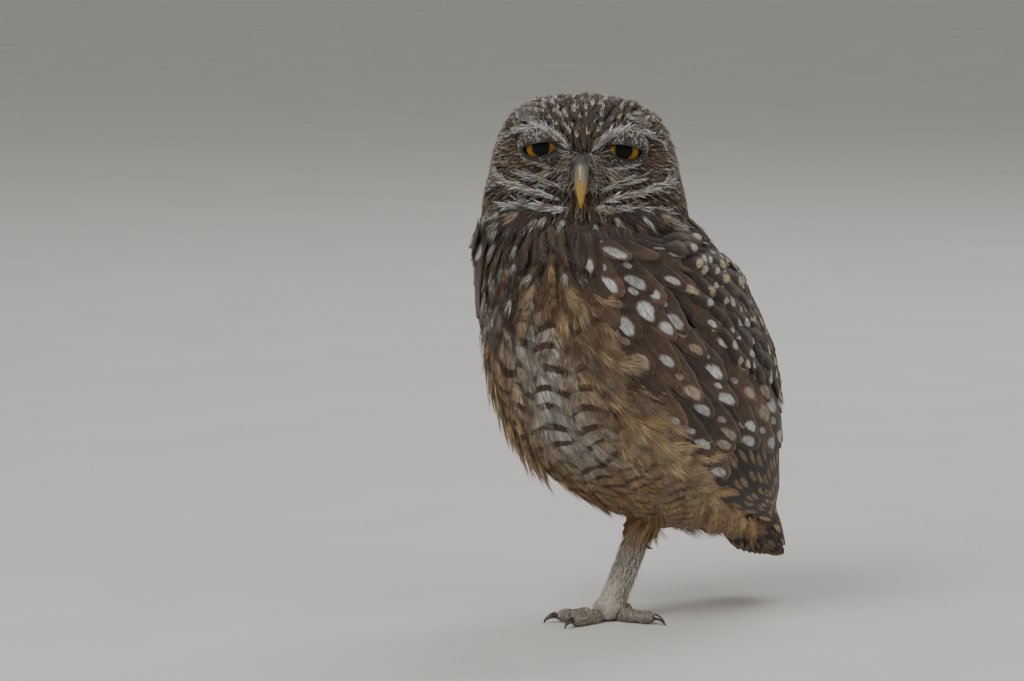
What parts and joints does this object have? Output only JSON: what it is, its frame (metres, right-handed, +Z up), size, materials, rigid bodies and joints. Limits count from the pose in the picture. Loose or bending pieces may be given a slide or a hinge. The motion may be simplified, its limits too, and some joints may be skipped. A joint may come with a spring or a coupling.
{
  "type": "burrowing owl model",
  "caption": "Life-size still model of a burrowing owl resting on one foot, other foot tucked up, wings folded and head turned, with half-closed eyes.",
  "frame": {"origin": "middle of the standing foot's sole, on the floor", "axes": "+Z up, breast towards -Y, the bird's left side towards +X, head turned 39 degrees to its left"},
  "size_m": [0.0978, 0.1561, 0.2113],
  "materials": {
    "beak_horn": "smooth horn, greenish grey at the sides and yellow along the ridge",
    "claw_horn": "smooth blackish horn",
    "eye": "wet amber iris round a black pupil",
    "leg_feather": "short whitish feathers, bristly lower down",
    "spotted_brown_feather": "dark brown feathers with round white and buff spots",
    "barred_buff_feather": "buff down with brown bars and white spots",
    "toe_skin": "dry scaled grey-brown skin with sparse bristles"
  },
  "bodies": {
    "root": {"beak_lower": "beak_horn", "beak_upper": "beak_horn", "claw_hind_left": "claw_horn", "claw_inner_left": "claw_horn", "claw_inner_right": "claw_horn", "claw_middle_left": "claw_horn", "claw_middle_right": "claw_horn", "claw_outer_left": "claw_horn", "claw_outer_right": "claw_horn", "eye_left": "eye", "eye_right": "eye", "foot_left": "leg_feather", "foot_right": "leg_feather", "head": "spotted_brown_feather", "neck": "spotted_brown_feather", "shank_left": "leg_feather", "shank_right": "leg_feather", "tail": "spotted_brown_feather", "thigh_left": "barred_buff_feather", "toe_hind_left": "toe_skin", "toe_inner_left": "toe_skin", "toe_inner_right": "toe_skin", "toe_middle_left": "toe_skin", "toe_middle_right": "toe_skin", "toe_outer_left": "toe_skin", "toe_outer_right": "toe_skin", "torso": "barred_buff_feather", "wing_left": "spotted_brown_feather", "wing_right": "spotted_brown_feather"}
  },
  "joints": []
}
